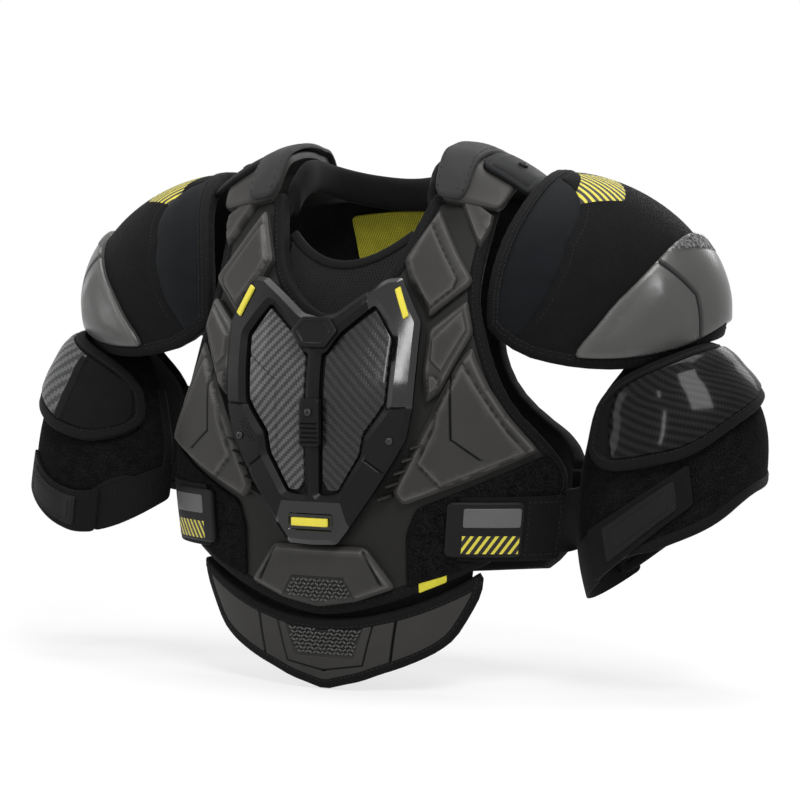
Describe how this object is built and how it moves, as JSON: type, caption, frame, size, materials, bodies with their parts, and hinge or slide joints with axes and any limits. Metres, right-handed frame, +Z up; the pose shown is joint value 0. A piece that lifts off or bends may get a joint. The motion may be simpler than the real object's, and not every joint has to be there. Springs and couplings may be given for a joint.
{
  "type": "hockey shoulder pads",
  "caption": "Padded shoulder harness: chest and back panels with a sternum guard, hinged shoulder caps, sleeves with bicep guards, elastic side straps and a belly pad.",
  "frame": {"origin": "middle of the torso opening, level with the lower edge of the chest panel", "axes": "+X to the wearer's left, -Y to the front, +Z up along the torso"},
  "size_m": [0.7142, 0.2711, 0.4761],
  "materials": {
    "base_foam": "black knitted cover over foam",
    "grey_foam": "satin moulded foam",
    "mesh_black": "open black mesh",
    "collar_cloth": "smooth dark grey cloth",
    "loop_fabric": "brushed loop pile",
    "gloss_frame": "polished black",
    "carbon": "clear-coated twill",
    "yellow_trim": "satin yellow",
    "yellow_mesh": "yellow mesh",
    "steel": "brushed",
    "moulded_black": "matt moulded rubber",
    "webbing": "woven webbing",
    "cap_cloth": "tight black weave",
    "cap_plate": "satin moulded grey"
  },
  "bodies": {
    "harness": {"chest_base_left": "base_foam", "chest_base_right": "base_foam", "neck_bib": "mesh_black", "clavicle_pad_left": "grey_foam", "clavicle_pad_right": "grey_foam", "rib_pad_left": "grey_foam", "rib_pad_right": "grey_foam", "pectoral_pad_left": "grey_foam", "pectoral_pad_right": "grey_foam", "abdomen_pad": "grey_foam", "loop_field_left": "loop_fabric", "loop_field_right": "loop_fabric", "sternum_base": "grey_foam", "sternum_frame": "gloss_frame", "sternum_plate_left": "carbon", "sternum_plate_right": "carbon", "sternum_badge": "gloss_frame", "sternum_slider": "gloss_frame", "frame_inserts": "yellow_trim", "frame_screws": "steel", "yoke_left": "base_foam", "yoke_right": "base_foam", "shoulder_arch_left": "moulded_black", "shoulder_arch_right": "moulded_black", "arch_rivets": "moulded_black", "collar_flap_left": "collar_cloth", "collar_flap_right": "collar_cloth", "collar": "mesh_black", "back_base_left": "base_foam", "back_base_right": "base_foam", "neck_label": "yellow_mesh", "spine_guard": "moulded_black", "scapula_pad_left": "grey_foam", "scapula_pad_right": "grey_foam", "lumbar_pad_left": "grey_foam", "lumbar_pad_right": "grey_foam", "side_strap_left": "webbing", "side_strap_right": "webbing"},
    "cap_left": {"cap_shell_left": "cap_cloth", "cap_plate_left": "cap_plate"},
    "arm_left": {"arm_liner_left": "loop_fabric", "guard_pad_left": "cap_cloth", "guard_plate_left": "carbon", "arm_strap_left": "webbing"},
    "strap_tab_left": {"strap_tab_left": "moulded_black"},
    "side_tab_left": {"side_tab_left": "webbing", "tab_plate_left": "moulded_black"},
    "cap_right": {"cap_shell_right": "cap_cloth", "cap_plate_right": "cap_plate"},
    "arm_right": {"arm_liner_right": "loop_fabric", "guard_pad_right": "cap_cloth", "guard_plate_right": "carbon", "arm_strap_right": "webbing"},
    "strap_tab_right": {"strap_tab_right": "moulded_black"},
    "side_tab_right": {"side_tab_right": "webbing", "tab_plate_right": "moulded_black"},
    "belly": {"belly_pad": "grey_foam", "belly_hanger": "webbing"}
  },
  "joints": [
    {"name": "cap_left_lift", "type": "hinge", "parent": "harness", "child": "cap_left", "pos_m": [0.15, 0.02, 0.384], "axis": [0, -1, 0], "range_deg": [0, 40]},
    {"name": "arm_left_swing", "type": "hinge", "parent": "cap_left", "child": "arm_left", "pos_m": [0.305, 0.008, 0.236], "axis": [0, -1, 0], "range_deg": [0, 20]},
    {"name": "strap_tab_left_open", "type": "hinge", "parent": "arm_left", "child": "strap_tab_left", "pos_m": [0.22638, -0.04718, 0.0586], "axis": [0.1996, 0.011, -0.9798], "range_deg": [0, 60]},
    {"name": "side_tab_left_open", "type": "hinge", "parent": "harness", "child": "side_tab_left", "pos_m": [0.18928, -0.02716, 0.08019], "axis": [0.1217, -0.0057, 0.9926], "range_deg": [0, 75]},
    {"name": "cap_right_lift", "type": "hinge", "parent": "harness", "child": "cap_right", "pos_m": [-0.15, 0.02, 0.384], "axis": [0, 1, 0], "range_deg": [0, 40]},
    {"name": "arm_right_swing", "type": "hinge", "parent": "cap_right", "child": "arm_right", "pos_m": [-0.305, 0.008, 0.236], "axis": [0, 1, 0], "range_deg": [0, 20]},
    {"name": "strap_tab_right_open", "type": "hinge", "parent": "arm_right", "child": "strap_tab_right", "pos_m": [-0.25474, -0.07074, 0.07748], "axis": [0.1412, -0.0213, 0.9898], "range_deg": [0, 60]},
    {"name": "side_tab_right_open", "type": "hinge", "parent": "harness", "child": "side_tab_right", "pos_m": [-0.18928, -0.02716, 0.08019], "axis": [0.1217, 0.0057, -0.9926], "range_deg": [0, 75]},
    {"name": "belly_swing", "type": "hinge", "parent": "harness", "child": "belly", "pos_m": [0, -0.10289, 0.00383], "axis": [-1, 0, 0], "range_deg": [0, 35]}
  ]
}
